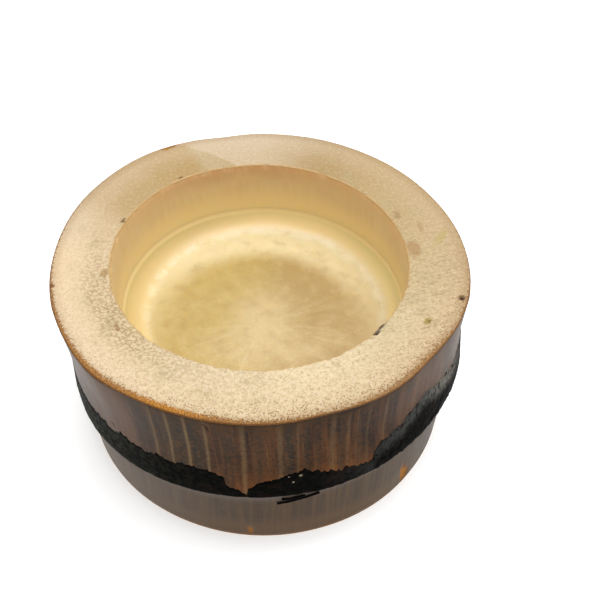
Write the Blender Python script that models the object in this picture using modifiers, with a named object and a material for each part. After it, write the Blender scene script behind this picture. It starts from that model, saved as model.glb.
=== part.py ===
"""A rosin cake cast in a cup that is sawn from one node of bamboo.

Metres, +Z up. The cup stands on z = 0 with its widest stretch centred on the Z axis.
A turn is an angle about +Z: 0 is at +X, 90 is at +Y, and -90 is the front.
"""

import math

import bmesh
import bpy
from mathutils import Vector

# Driving dimensions of the cup
CUP_HEIGHT = 0.0368
RIM_RADIUS = 0.0375
BORE_RADIUS = 0.0265
NODE_HEIGHT = 0.0145
NODE_RADIUS = 0.0377
SKIRT_TOP_RADIUS = 0.0365
FOOT_RADIUS = 0.0364
FOOT_BORE_RADIUS = 0.0262
WAIST_DEPTH = 0.0005
FLARE_START = 0.4
EDGE_CHAMFER = 0.0003

# The diaphragm is the wall that closes the culm at its node
DIAPHRAGM_TOP = 0.0162
DIAPHRAGM_UNDERSIDE = 0.0122
CORNER_RADIUS = 0.0025

# The rosin is poured on the diaphragm and creeps a little way up the bore
ROSIN_TOP = 0.0220
ROSIN_DISH = 0.0002
MENISCUS_RISE = 0.0044
MENISCUS_WIDTH = 0.0050
MENISCUS_LIP = 0.0003

# The dead sheath has left a crust along the node, and two fibres below it
CRUST_THICKNESS = 0.0004
FIBRE_RADIUS = 0.0002
FIBRE_SAG = 0.0003
PIECE_GAP = 0.0003

# How the culm grew: it bends at its node, its node runs at a slant, its hollow is a little
# off its centre, and it isn't quite round
CULM_BEND = 0.052
NODE_SLANT_X = 0.073
NODE_SLANT_Y = -0.066
HOLLOW_SHIFT = (-0.00014, -0.00045)
SWELLINGS = (
    # turn in degrees, share of the radius, half-width in degrees
    (178, -0.016, 19),
    (128, 0.0135, 14),
    (102, -0.014, 7),
    (70, 0.004, 12),
    (25, -0.005, 14),
    (-15, 0.006, 12),
    (-42, -0.013, 10),
    (-75, -0.012, 10),
    (-134, 0.016, 12),
)
FOOT_SWELLING_SHARE = 0.15
BORE_SWELLING_SHARE = 0.4

TURN_STEPS = 96
SKIN_ROWS = 9
MENISCUS_ROWS = 6
CRUST_ROWS = 3
CRUST_STEP = 2.5
SHARP_ANGLE = math.radians(35)


def smooth(share):
    share = min(max(share, 0.0), 1.0)
    return share * share * (3 - 2 * share)


def turn_gap(a, b):
    """Degrees between two turns, from 0 to 180."""
    return abs((a - b + 180) % 360 - 180)


def swelling(turn, height):
    """How far the culm's outline stands out at this turn, as a share of its radius."""
    degrees = math.degrees(turn)
    found = sum(
        share * math.exp(-((turn_gap(degrees, at) / width) ** 2))
        for at, share, width in SWELLINGS
    )
    up = smooth((height - NODE_HEIGHT) / (CUP_HEIGHT - NODE_HEIGHT))
    return found * (FOOT_SWELLING_SHARE + (1 - FOOT_SWELLING_SHARE) * up)


def node_share(height):
    """1 at the node, falling to 0 at the two sawn faces, which are level."""
    if height > NODE_HEIGHT:
        return smooth((CUP_HEIGHT - height) / (CUP_HEIGHT - NODE_HEIGHT))
    return smooth(height / NODE_HEIGHT)


def grown(radius, turn, height):
    """Where a point of the ideal turned shape lies on the culm as it grew."""
    out = min(max((radius - BORE_RADIUS) / (RIM_RADIUS - BORE_RADIUS), 0.0), 1.0)
    skin_share = BORE_SWELLING_SHARE + (1 - BORE_SWELLING_SHARE) * out
    radius = radius * (1 + swelling(turn, height) * skin_share)
    slant = NODE_SLANT_X * math.cos(turn) + NODE_SLANT_Y * math.sin(turn)
    bend = -CULM_BEND * max(height - NODE_HEIGHT, 0.0)
    return Vector(
        (
            radius * math.cos(turn) + HOLLOW_SHIFT[0] * (1 - out) + bend,
            radius * math.sin(turn) + HOLLOW_SHIFT[1] * (1 - out),
            height + slant * radius * out * node_share(height),
        )
    )


def outer_radius(height):
    """The culm's outer radius: a slight waist under the rim, then a flare to the node."""
    if height < NODE_HEIGHT:
        up = height / NODE_HEIGHT
        return FOOT_RADIUS + (SKIRT_TOP_RADIUS - FOOT_RADIUS) * up
    down = (CUP_HEIGHT - height) / (CUP_HEIGHT - NODE_HEIGHT)
    flare = (NODE_RADIUS - RIM_RADIUS) * smooth((down - FLARE_START) / (1 - FLARE_START))
    return RIM_RADIUS - WAIST_DEPTH * math.sin(math.pi * down) + flare


def material(name, colour, roughness):
    made = bpy.data.materials.new(name)
    made.use_nodes = True
    shader = made.node_tree.nodes["Principled BSDF"]
    shader.inputs["Base Color"].default_value = (*colour, 1)
    shader.inputs["Roughness"].default_value = roughness
    shader.inputs["Metallic"].default_value = 0
    return made


def turned_mesh(name, profile):
    """A profile of (radius, height) points turned about Z, with its ends on the axis."""
    outline = bpy.data.meshes.new(name + "_profile")
    edges = [(i, i + 1) for i in range(len(profile) - 1)]
    outline.from_pydata([(radius, 0, height) for radius, height in profile], edges, [])
    blank = bpy.data.objects.new(name + "_blank", outline)
    bpy.context.scene.collection.objects.link(blank)
    screw = blank.modifiers.new("turn", "SCREW")
    screw.steps = screw.render_steps = TURN_STEPS
    screw.use_merge_vertices = True
    screw.merge_threshold = 0.00001
    graph = bpy.context.evaluated_depsgraph_get()
    mesh = bpy.data.meshes.new_from_object(blank.evaluated_get(graph))
    mesh.name = name
    bpy.data.objects.remove(blank)
    return mesh


def let_grow(mesh):
    """Moves each point of a turned mesh to its place on the culm."""
    for vertex in mesh.vertices:
        x, y, height = vertex.co
        vertex.co = grown(math.hypot(x, y), math.atan2(y, x), height)
    mesh.update()


def shade(mesh):
    mesh.shade_smooth()
    mesh.set_sharp_from_angle(angle=SHARP_ANGLE)


def add_piece(name, mesh, finish, collection):
    piece = bpy.data.objects.new(name, mesh)
    piece.data.materials.append(finish)
    collection.objects.link(piece)
    return piece


def corner(centre_radius, centre_height, radius, start, end, steps=4):
    """Points of a rounded corner, from start to end in degrees."""
    turns = [math.radians(start + (end - start) * i / steps) for i in range(steps + 1)]
    return [
        (centre_radius + radius * math.cos(t), centre_height + radius * math.sin(t))
        for t in turns
    ]


def cup_profile():
    """From the axis over the diaphragm, up the bore, down the skin and back in below."""
    inside = [(0, DIAPHRAGM_TOP)]
    inside += corner(
        BORE_RADIUS - CORNER_RADIUS, DIAPHRAGM_TOP + CORNER_RADIUS, CORNER_RADIUS, -90, 0
    )
    inside += [(BORE_RADIUS, ROSIN_TOP + MENISCUS_RISE), (BORE_RADIUS, CUP_HEIGHT)]

    skin = [
        (RIM_RADIUS - EDGE_CHAMFER, CUP_HEIGHT),
        (RIM_RADIUS, CUP_HEIGHT - EDGE_CHAMFER),
    ]
    lip = EDGE_CHAMFER
    above_node = CUP_HEIGHT - EDGE_CHAMFER - NODE_HEIGHT - lip
    for row in range(1, SKIN_ROWS + 1):
        height = CUP_HEIGHT - EDGE_CHAMFER - above_node * row / SKIN_ROWS
        skin.append((outer_radius(height), height))
    skin += [
        (NODE_RADIUS - lip, NODE_HEIGHT),
        (SKIRT_TOP_RADIUS, NODE_HEIGHT - lip),
        (outer_radius(NODE_HEIGHT / 2), NODE_HEIGHT / 2),
        (FOOT_RADIUS, EDGE_CHAMFER),
        (FOOT_RADIUS - EDGE_CHAMFER, 0),
    ]

    below = [(FOOT_BORE_RADIUS, 0)]
    below += corner(
        FOOT_BORE_RADIUS - CORNER_RADIUS,
        DIAPHRAGM_UNDERSIDE - CORNER_RADIUS,
        CORNER_RADIUS,
        0,
        90,
    )
    below.append((0, DIAPHRAGM_UNDERSIDE))
    return inside + skin + below


def make_cup(collection):
    """The bamboo cup, which is one piece of culm with its diaphragm."""
    mesh = turned_mesh("bamboo_cup", cup_profile())
    let_grow(mesh)
    shade(mesh)
    finish = material("varnished_bamboo", (0.16, 0.10, 0.07), 0.4)
    return add_piece("bamboo_cup", mesh, finish, collection)


def rosin_profile():
    """From the axis over the dished top, up the meniscus, down the side and back in."""
    side = BORE_RADIUS - PIECE_GAP
    floor = DIAPHRAGM_TOP + PIECE_GAP
    top = [(0, ROSIN_TOP - ROSIN_DISH), (side - MENISCUS_WIDTH, ROSIN_TOP)]
    for row in range(1, MENISCUS_ROWS + 1):
        share = row / MENISCUS_ROWS
        rise = 1 - math.sqrt(1 - share * share)
        top.append(
            (
                side - MENISCUS_WIDTH + (MENISCUS_WIDTH - MENISCUS_LIP) * share,
                ROSIN_TOP + MENISCUS_RISE * rise,
            )
        )
    bottom = [(side, ROSIN_TOP + MENISCUS_RISE)]
    bottom += corner(side - CORNER_RADIUS, floor + CORNER_RADIUS, CORNER_RADIUS, 0, -90)
    bottom.append((0, floor))
    return top + bottom


def make_rosin(collection):
    """The rosin cake, cast where it lies."""
    mesh = turned_mesh("rosin_cake", rosin_profile())
    let_grow(mesh)
    shade(mesh)
    finish = material("rosin", (0.70, 0.46, 0.14), 0.15)
    return add_piece("rosin_cake", mesh, finish, collection)


def crust_height(turn, tops):
    """The height of the crust's top edge above the node, between the given points."""
    for (start, low), (end, high) in zip(tops, tops[1:]):
        if start <= turn <= end:
            return low + (high - low) * (turn - start) / (end - start)
    return tops[-1][1]


def make_crust(name, tops, collection, finish):
    """A patch of sheath crust. It lies on the flare above the node.

    tops lists (turn in degrees, height of the top edge above the node in mm).
    """
    start, end = tops[0][0], tops[-1][0]
    columns = round((end - start) / CRUST_STEP)
    bm = bmesh.new()
    bmesh.ops.create_grid(bm, x_segments=columns, y_segments=CRUST_ROWS, size=1)
    foot = NODE_HEIGHT + EDGE_CHAMFER
    for vertex in bm.verts:
        turn = start + (end - start) * (vertex.co.x + 1) / 2
        up = (vertex.co.y + 1) / 2
        height = foot + up * crust_height(turn, tops) / 1000
        vertex.co = grown(outer_radius(height) + PIECE_GAP, math.radians(turn), height)
    mesh = bpy.data.meshes.new(name)
    bm.to_mesh(mesh)
    bm.free()
    shade(mesh)
    piece = add_piece(name, mesh, finish, collection)
    wall = piece.modifiers.new("thickness", "SOLIDIFY")
    wall.thickness = CRUST_THICKNESS
    wall.offset = 1
    return piece


def make_crusts(collection):
    """Two patches of crust, with a bare notch between them at the front and the back."""
    finish = material("sheath_crust", (0.010, 0.010, 0.009), 0.55)
    right = (
        (-95.6, 0.6), (-93, 3.7), (-87, 4.7), (-81, 6.1), (-77, 4.4), (-72, 2.1),
        (-68, 2.9), (-63, 2.4), (-61, 5.0), (-56, 6.6), (-50, 8.6), (-43, 9.4),
        (-34, 8.0), (-20, 7.0), (0, 6.0), (25, 7.2), (45, 5.0), (64, 5.8), (71, 0.8),
    )  # fmt: skip
    left = (
        (83, 0.8), (92, 5.0), (112, 6.4), (140, 5.2), (170, 6.6), (195, 5.4),
        (208, 6.4), (222, 6.6), (229, 7.2), (236, 6.0), (241, 6.8), (248, 6.2),
        (255, 6.2), (258, 5.0), (262, 2.0), (263.6, 0.6),
    )  # fmt: skip
    return [
        make_crust("sheath_crust_right", right, collection, finish),
        make_crust("sheath_crust_left", left, collection, finish),
    ]


def make_fibre(name, start, end, drop, collection, finish):
    """A fibre of the sheath that lies along the skirt, drop below the node."""
    points = 12
    line = bpy.data.curves.new(name, "CURVE")
    line.dimensions = "3D"
    line.bevel_depth = FIBRE_RADIUS
    line.bevel_resolution = 2
    line.use_fill_caps = True
    spline = line.splines.new("POLY")
    spline.points.add(points - 1)
    for i, point in enumerate(spline.points):
        share = i / (points - 1)
        turn = math.radians(start + (end - start) * share)
        height = NODE_HEIGHT - drop - FIBRE_SAG * math.sin(math.pi * share)
        radius = SKIRT_TOP_RADIUS + PIECE_GAP + FIBRE_RADIUS
        point.co = (*grown(radius, turn, height), 1)
    line.materials.append(finish)
    piece = bpy.data.objects.new(name, line)
    collection.objects.link(piece)
    return piece


def make_fibres(collection):
    finish = material("sheath_fibre", (0.012, 0.011, 0.010), 0.5)
    return [
        make_fibre("sheath_fibre_upper", -87.5, -79, 0.0029, collection, finish),
        make_fibre("sheath_fibre_lower", -87.5, -75, 0.0036, collection, finish),
    ]


def stand_over_origin(pieces, collection):
    """Parents the pieces to an empty, moved so that their box is centred over the origin."""
    graph = bpy.context.evaluated_depsgraph_get()
    points = []
    for piece in pieces:
        evaluated = piece.evaluated_get(graph)
        points += [vertex.co.copy() for vertex in evaluated.to_mesh().vertices]
        evaluated.to_mesh_clear()
    stand = bpy.data.objects.new("rosin_cup", None)
    collection.objects.link(stand)
    for axis in range(2):
        values = [point[axis] for point in points]
        stand.location[axis] = -(min(values) + max(values)) / 2
    for piece in pieces:
        piece.parent = stand


def main():
    for obj in list(bpy.data.objects):
        bpy.data.objects.remove(obj)
    collection = bpy.data.collections.new("rosin_cake_in_bamboo_cup")
    bpy.context.scene.collection.children.link(collection)
    pieces = [make_cup(collection), make_rosin(collection)]
    pieces += make_crusts(collection)
    pieces += make_fibres(collection)
    stand_over_origin(pieces, collection)


main()
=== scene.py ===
import math

import bpy
from mathutils import Matrix, Vector


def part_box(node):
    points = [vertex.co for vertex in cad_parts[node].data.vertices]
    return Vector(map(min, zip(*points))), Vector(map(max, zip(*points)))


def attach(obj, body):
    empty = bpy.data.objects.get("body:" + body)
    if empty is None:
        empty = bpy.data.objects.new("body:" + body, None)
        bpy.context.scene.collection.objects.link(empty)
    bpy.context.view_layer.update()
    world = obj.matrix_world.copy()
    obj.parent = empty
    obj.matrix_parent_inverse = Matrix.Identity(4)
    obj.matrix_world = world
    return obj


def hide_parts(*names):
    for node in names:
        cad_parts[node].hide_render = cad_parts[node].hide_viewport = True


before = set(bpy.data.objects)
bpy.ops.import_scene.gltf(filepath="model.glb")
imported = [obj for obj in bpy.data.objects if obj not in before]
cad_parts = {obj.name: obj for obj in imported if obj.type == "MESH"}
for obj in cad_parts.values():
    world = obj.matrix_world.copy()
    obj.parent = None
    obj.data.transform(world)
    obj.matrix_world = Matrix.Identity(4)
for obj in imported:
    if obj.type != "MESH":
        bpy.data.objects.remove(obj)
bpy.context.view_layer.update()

# Rosin cake cast in a bamboo cup. Metres, +Z up, -Y is the front.
# A turn is an angle about +Z in degrees: 0 at +X, 90 at the back, -90 at the front.

mm = 0.001
cupLow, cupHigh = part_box("bamboo_cup")
cakeLow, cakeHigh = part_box("rosin_cake")

# The culm as it grew and was sawn: sizes in metres, the rest in shares and degrees
culm = {
    "height": cupHigh.z,
    "rimRadius": 37.5 * mm,
    "boreRadius": (cakeHigh.x - cakeLow.x) / 2 + 0.3 * mm,
    "nodeHeight": 14.5 * mm,
    "nodeRadius": 37.9 * mm,
    "skirtRadius": 36.4 * mm,
    "noseDrop": 1.5 * mm,
    "waist": 0.5 * mm,
    "flareStart": 0.4,  # share of the way down to the node
    "footBore": 26.2 * mm,
    "diaphragmTop": cakeLow.z - 0.3 * mm,
    "diaphragmUnder": 12.2 * mm,
    "fillet": 2.5 * mm,
    "edge": 0.25 * mm,  # rounding of the sawn edges
    "bend": 0.052,  # lean to -X for each metre above the node
    "slant": (0.073, -0.066),  # rise of the node's ring towards +X and +Y
    "hollowShift": (-0.14 * mm, -0.45 * mm),
    "footSwelling": 0.15,  # how much of the swellings reaches the foot
    "boreSwelling": 0.4,  # and the bore
    "ridges": 0.10,  # mm, fine and broad relief of the skin
    "waves": 0.35,
    "turnSteps": 600,
    "weld": 0.002 * mm,
    # turn, share of the radius, half-width in degrees
    "swellings": (
        (178, -0.016, 19), (128, 0.0135, 14), (102, -0.014, 7), (70, 0.004, 12), (25, -0.005, 14),
        (-15, 0.006, 12), (-42, -0.013, 10), (-75, -0.012, 10), (-134, 0.016, 12),
    ),
}


class Wire:
    # an output socket that can stand in a sum like a number
    def __init__(self, board, socket):
        self.board = board
        self.socket = socket

    def calc(self, operation, *others):
        return self.board.calc(operation, self, *others)

    def __add__(self, other):
        return self.calc("ADD", other)

    __radd__ = __add__

    def __sub__(self, other):
        return self.calc("SUBTRACT", other)

    def __rsub__(self, other):
        return self.board.calc("SUBTRACT", other, self)

    def __mul__(self, other):
        return self.calc("MULTIPLY", other)

    __rmul__ = __mul__

    def __truediv__(self, other):
        return self.calc("DIVIDE", other)

    def step(self, low, high):
        # 0 up to low, 1 from high on, smooth between; the other way round if low is above high
        return self.board.put(
            "ShaderNodeMapRange",
            {"interpolation_type": "SMOOTHSTEP"},
            {"Value": self, "From Min": low, "From Max": high},
        )

    def parts(self):
        # x, y and z of a vector
        split = self.board.put("ShaderNodeSeparateXYZ", {}, {0: self})
        return [Wire(self.board, out) for out in split.socket.node.outputs]

    def stretched(self, x, y, z):
        return self.board.put("ShaderNodeVectorMath", {"operation": "MULTIPLY"}, {0: self, 1: (x, y, z)})


class Board:
    # lays nodes in one tree
    def __init__(self, tree):
        self.tree = tree
        self.laid = 0

    def put(self, kind, settings=None, values=None, out=0):
        node = self.tree.nodes.new(kind)
        node.location = (self.laid % 16 * 190, -(self.laid // 16) * 260)
        self.laid += 1
        for name, value in (settings or {}).items():
            if name == "stops":
                setStops(node.color_ramp, value)
            else:
                setattr(node, name, value)
        for key, value in (values or {}).items():
            socket = findSocket(node.inputs, key)
            if isinstance(value, Wire):
                self.tree.links.new(value.socket, socket)
            elif socket.type == "RGBA" and len(value) == 3:
                socket.default_value = (*value, 1)
            else:
                socket.default_value = value
        return Wire(self, findSocket(node.outputs, out)) if node.outputs else node

    def calc(self, operation, *terms):
        return self.put("ShaderNodeMath", {"operation": operation}, dict(enumerate(terms)))

    def join(self, x, y, z):
        return self.put("ShaderNodeCombineXYZ", {}, {0: x, 1: y, 2: z})

    def mix(self, share, first, second):
        return self.put(
            "ShaderNodeMix",
            {"data_type": "RGBA", "blend_type": "MIX"},
            {"Factor_Float": share, "A_Color": first, "B_Color": second},
            "Result_Color",
        )

    def coats(self, colour, *coats):
        # lays coats over a colour, one after another: (share, colour of the coat)
        for share, coat in coats:
            colour = self.mix(share, colour, coat)
        return colour

    def noise(self, place, scale, detail=2.0, rough=0.5):
        sizes = {"Vector": place, "Scale": scale, "Detail": detail, "Roughness": rough}
        return self.put("ShaderNodeTexNoise", {}, sizes)

    def cells(self, place, scale, feature="F1"):
        return self.put("ShaderNodeTexVoronoi", {"feature": feature}, {"Vector": place, "Scale": scale})

    def ramp(self, share, stops):
        # stops: (place, colour)
        return self.put("ShaderNodeValToRGB", {"stops": stops}, {"Fac": share})

    def ring(self, turn, height=0.0):
        # a point on a ring of radius 1 at this turn in degrees
        angle = turn * (math.pi / 180)
        return self.join(cosine(angle), sine(angle), height)

    def spot(self, radius, turn):
        # where a point of the turned shape is, seen from above
        angle = turn * (math.pi / 180)
        return self.join(radius * cosine(angle), radius * sine(angle), 0.0)

    # These lay nodes of Geometry Nodes.
    def grid(self, rows, columns):
        # a grid, and how far along it each point lies both ways, 0 to 1
        counts = {"Size X": 1.0, "Size Y": 1.0, "Vertices X": rows, "Vertices Y": columns}
        mesh = self.put("GeometryNodeMeshGrid", {}, counts)
        across, along, _ = self.put("GeometryNodeInputPosition").parts()
        return mesh, across + 0.5, along + 0.5

    def named(self, label):
        return self.put("GeometryNodeInputNamedAttribute", {"data_type": "FLOAT"}, {"Name": label})

    def sample(self, kind, chain, value, index):
        found = {"Geometry": chain, "Value": value, "Index": index.calc("FLOOR")}
        return self.put("GeometryNodeSampleIndex", {"data_type": kind}, found)

    def store(self, mesh, label, value, kind="FLOAT", domain="POINT"):
        settings = {"data_type": kind, "domain": domain}
        return self.put(
            "GeometryNodeStoreNamedAttribute", settings, {"Geometry": mesh, "Name": label, "Value": value}
        )

    def placed(self, mesh, position):
        # the points at their places, and those that meet made one
        mesh = self.put("GeometryNodeSetPosition", {}, {"Geometry": mesh, "Position": position})
        return self.put("GeometryNodeMergeByDistance", {}, {"Geometry": mesh, "Distance": culm["weld"]})

    def finished(self, mesh, finishes, zone=None):
        # ends the tree: smooth, no instances, and one finish to each zone or one for all
        mesh = self.put("GeometryNodeSetShadeSmooth", {}, {0: mesh})
        mesh = self.put("GeometryNodeRealizeInstances", {}, {0: mesh})
        for number, finish in enumerate(finishes):
            values = {"Geometry": mesh, "Material": finish}
            if zone:
                values["Selection"] = zone.calc("COMPARE", float(number), 0.1)
            mesh = self.put("GeometryNodeSetMaterial", {}, values)
        self.put("NodeGroupOutput", {}, {0: mesh})


def findSocket(sockets, key):
    if isinstance(key, int):
        return sockets[key]
    return next(s for s in sockets if s.enabled and key in (s.identifier, s.name))


def setStops(ramp, stops):
    ramp.interpolation = "EASE"
    while len(ramp.elements) < len(stops):
        ramp.elements.new(1.0)
    for element, (at, colour) in zip(ramp.elements, stops):
        element.position = at
        element.color = (*colour, 1)


lightLevel = 1.42  # how much brighter than white the studio makes a white sheet


def paint(red, green, blue, share=1.0):
    # the linear colour of a surface that looks so on a screen, 0 to 255, in that share of the light
    return tuple(
        (c / 12.92 if c <= 0.04045 else ((c + 0.055) / 1.055) ** 2.4) / (lightLevel * share)
        for c in (red / 255, green / 255, blue / 255)
    )


def grey(value):
    return (value, value, value)


# These take numbers in Python and wires in a tree, so that one rule serves both.
def clamped(x):
    return x.calc("MAXIMUM", 0.0).calc("MINIMUM", 1.0) if isinstance(x, Wire) else min(max(x, 0.0), 1.0)


def smooth(x):
    x = clamped(x)
    return x * x * (3 - 2 * x)


def sine(x):
    return x.calc("SINE") if isinstance(x, Wire) else math.sin(x)


def cosine(x):
    return x.calc("COSINE") if isinstance(x, Wire) else math.cos(x)


def bell(x, centre, width):
    # 1 at the centre, falling off on both sides
    far = (x - centre) * (1 / width)
    return (far * far * -1.0).calc("EXPONENT") if isinstance(far, Wire) else math.exp(-far * far)


def turnBell(turn, centre, width):
    gap = turn - centre
    gap = gap.calc("WRAP", 180.0, -180.0) if isinstance(gap, Wire) else (gap + 180) % 360 - 180
    return bell(gap, 0, width)


def nodeShare(height):
    # 1 at the node, 0 at both sawn faces, which are level
    above = smooth((culm["height"] - height) * (1 / (culm["height"] - culm["nodeHeight"])))
    below = smooth(height * (1 / culm["nodeHeight"]))
    return above * below


def grown(radius, turn, height):
    # where a point of the turned shape lies on the culm as it grew
    bore, rim = culm["boreRadius"], culm["rimRadius"]
    out = clamped((radius - bore) * (1 / (rim - bore)))
    up = smooth((height - culm["nodeHeight"]) * (1 / (culm["height"] - culm["nodeHeight"])))
    swelling = sum(share * turnBell(turn, at, width) for at, share, width in culm["swellings"])
    swelling = swelling * (culm["footSwelling"] + (1 - culm["footSwelling"]) * up)
    swelling = swelling * (culm["boreSwelling"] + (1 - culm["boreSwelling"]) * out)
    radius = radius * (1 + swelling)
    angle = turn * (math.pi / 180)
    eastward, northward = cosine(angle), sine(angle)
    slant = eastward * culm["slant"][0] + northward * culm["slant"][1]
    aboveNode = height - culm["nodeHeight"]
    aboveNode = aboveNode.calc("MAXIMUM", 0.0) if isinstance(aboveNode, Wire) else max(aboveNode, 0.0)
    shiftX, shiftY = culm["hollowShift"]
    return (
        radius * eastward + shiftX * (1 - out) - culm["bend"] * aboveNode,
        radius * northward + shiftY * (1 - out),
        height + slant * radius * out * nodeShare(height),
    )


def skinRadius(height):
    # a slight waist, a flare to the node, then a step in to the skirt
    span = culm["height"] - culm["nodeHeight"]
    down = clamped((culm["height"] - height) * (1 / span))
    flare = smooth((down - culm["flareStart"]) * (1 / (1 - culm["flareStart"])))
    upper = culm["rimRadius"] - culm["waist"] * sine(down * math.pi)
    upper = upper + (culm["nodeRadius"] - culm["rimRadius"]) * flare
    drop = smooth((culm["nodeHeight"] - height) * (1 / culm["noseDrop"]))
    return upper - (culm["nodeRadius"] - culm["skirtRadius"]) * drop


def skinRelief(board, turn, above):
    # how far the skin stands out from the turned shape, in mm
    around = board.ring(turn, above)
    streaks = board.noise(around.stretched(46, 46, 0.05), 1.0, 2) - 0.5
    waves = board.noise(around.stretched(5, 5, 0.05), 1.0, 2) - 0.5
    return streaks * culm["ridges"] + waves * culm["waves"]


def run(start, end, rows):
    # points from start towards end, without the end
    return [tuple(a + (b - a) * i / rows for a, b in zip(start, end)) for i in range(rows)]


def corner(centre, radius, start, end, rows):
    turns = [math.radians(start + (end - start) * i / rows) for i in range(rows + 1)]
    return [(centre[0] + radius * math.cos(t), centre[1] + radius * math.sin(t)) for t in turns]


def sizeTree(name, sizes):
    # an empty tree with named inputs, and the wires of those inputs
    tree = bpy.data.node_groups.new(name, "GeometryNodeTree")
    tree.interface.new_socket(name="Geometry", in_out="INPUT", socket_type="NodeSocketGeometry")
    tree.interface.new_socket(name="Geometry", in_out="OUTPUT", socket_type="NodeSocketGeometry")
    for label in sizes:
        tree.interface.new_socket(name=label, in_out="INPUT", socket_type="NodeSocketFloat")
    board = Board(tree)
    entry = board.put("NodeGroupInput").socket.node
    return board, {out.name: Wire(board, out) for out in entry.outputs if out.name}


def fromTree(name, board, sizes, mesh):
    # runs the tree on a mesh, and gives the result as an object with a plain mesh
    start = bpy.data.objects.new(name + "_start", mesh)
    bpy.context.scene.collection.objects.link(start)
    maker = start.modifiers.new(name, "NODES")
    maker.node_group = board.tree
    for item in board.tree.interface.items_tree:
        if item.in_out == "INPUT" and item.name in sizes:
            maker[item.identifier] = sizes[item.name]
    graph = bpy.context.evaluated_depsgraph_get()
    made = bpy.data.meshes.new_from_object(start.evaluated_get(graph))
    made.name = name
    bpy.data.objects.remove(start)
    piece = bpy.data.objects.new(name, made)
    bpy.context.scene.collection.objects.link(piece)
    return piece


def profileMesh(name, points, zones):
    # a chain of points (radius, height) with the zone of the stretch after each
    mesh = bpy.data.meshes.new(name)
    mesh.from_pydata([(r, 0, h) for r, h in points], [(i, i + 1) for i in range(len(points) - 1)], [])
    zone = mesh.attributes.new("zone", "FLOAT", "POINT")
    zone.data.foreach_set("value", zones)
    return mesh


def turnedTree(name, sizes, rows, shape, finishes):
    # turns a profile from Start to End in Steps, and hands each point to shape for its place
    board, size = sizeTree(name, ["Start", "End", "Steps", *sizes])
    chain = size["Geometry"]
    mesh, across, along = board.grid(rows, size["Steps"] + 1)
    row = across * (rows - 1)
    turn = size["Start"] + along * (size["End"] - size["Start"])
    here = board.put("GeometryNodeInputPosition")
    radius, _, height = board.sample("FLOAT_VECTOR", chain, here, row + 0.5).parts()
    zone = board.sample("FLOAT", chain, board.named("zone"), row + 0.01)
    radius, height, fields = shape(board, size, radius, height, turn, zone)
    for label, value in fields.items():
        mesh = board.store(mesh, label, value)
    above = (height - culm["nodeHeight"]) * (1 / mm)
    mesh = board.store(mesh, "place", board.ring(turn, above), "FLOAT_VECTOR")
    mesh = board.store(mesh, "zone", zone, domain="FACE")
    mesh = board.placed(mesh, board.join(*grown(radius, turn, height)))
    board.finished(mesh, finishes, board.named("zone"))
    return board


def shaderBoard(name):
    finish = bpy.data.materials.new(name)
    finish.use_nodes = True
    finish.node_tree.nodes.clear()
    return finish, Board(finish.node_tree)


def finishWith(board, colour, roughness, gloss, relief=None, more=None):
    # ends a material. The gloss is the specular level, and relief is (height, strength, distance)
    values = {"Base Color": colour, "Roughness": roughness, "Specular IOR Level": gloss, **(more or {})}
    if relief:
        sizes = dict(zip(("Height", "Strength", "Distance"), relief))
        values["Normal"] = board.put("ShaderNodeBump", {}, sizes)
    surface = board.put("ShaderNodeBsdfPrincipled", {}, values)
    board.put("ShaderNodeOutputMaterial", {}, {"Surface": surface})


def placeWires(board):
    # where a point of a turned piece is: turn in degrees, mm above the node, and the vector itself
    place = board.put("ShaderNodeAttribute", {"attribute_name": "place"}, {}, "Vector")
    east, north, above = place.parts()
    return north.calc("ARCTAN2", east) * (180 / math.pi), above, place


def attribute(board, name):
    return board.put("ShaderNodeAttribute", {"attribute_name": name}, {}, "Fac")


def inMillimetres(board):
    return board.put("ShaderNodeTexCoord", {}, {}, "Object").stretched(1000, 1000, 1000)


# Camera

view = {
    "rimCentre": (-culm["bend"] * (culm["height"] - culm["nodeHeight"]), 0, culm["height"]),
    "standoff": (0, -2.734, 2.5175),  # in rim radii
    "forward": (0.05020, 0.69080, -0.72130),
    "up": (0.00833, 0.72190, 0.69195),
    "lens": 46.14,
}


def placeCamera():
    camera = bpy.data.cameras.new("camera")
    camera.lens = view["lens"]
    camera.sensor_width = 36
    camera.clip_start = 5 * mm
    camera.clip_end = 10
    holder = bpy.data.objects.new("camera", camera)
    forward = Vector(view["forward"]).normalized()
    right = forward.cross(Vector(view["up"])).normalized()
    turned = Matrix((right, right.cross(forward), -forward)).transposed().to_4x4()
    turned.translation = Vector(view["rimCentre"]) + culm["rimRadius"] * Vector(view["standoff"])
    holder.matrix_world = turned
    bpy.context.scene.collection.objects.link(holder)
    bpy.context.scene.camera = holder


placeCamera()
print("camera placed")


# Studio

studio = {
    "floor": (0.9, 0.9, 0.9),
    "floorSize": 6,
    "floorGlow": 0.3,
    "world": 0.7,
    "softbox": (0.42, 0.42, (0.05, 0.05, 0.52), 2.6),  # width, depth, place, watts
}


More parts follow.
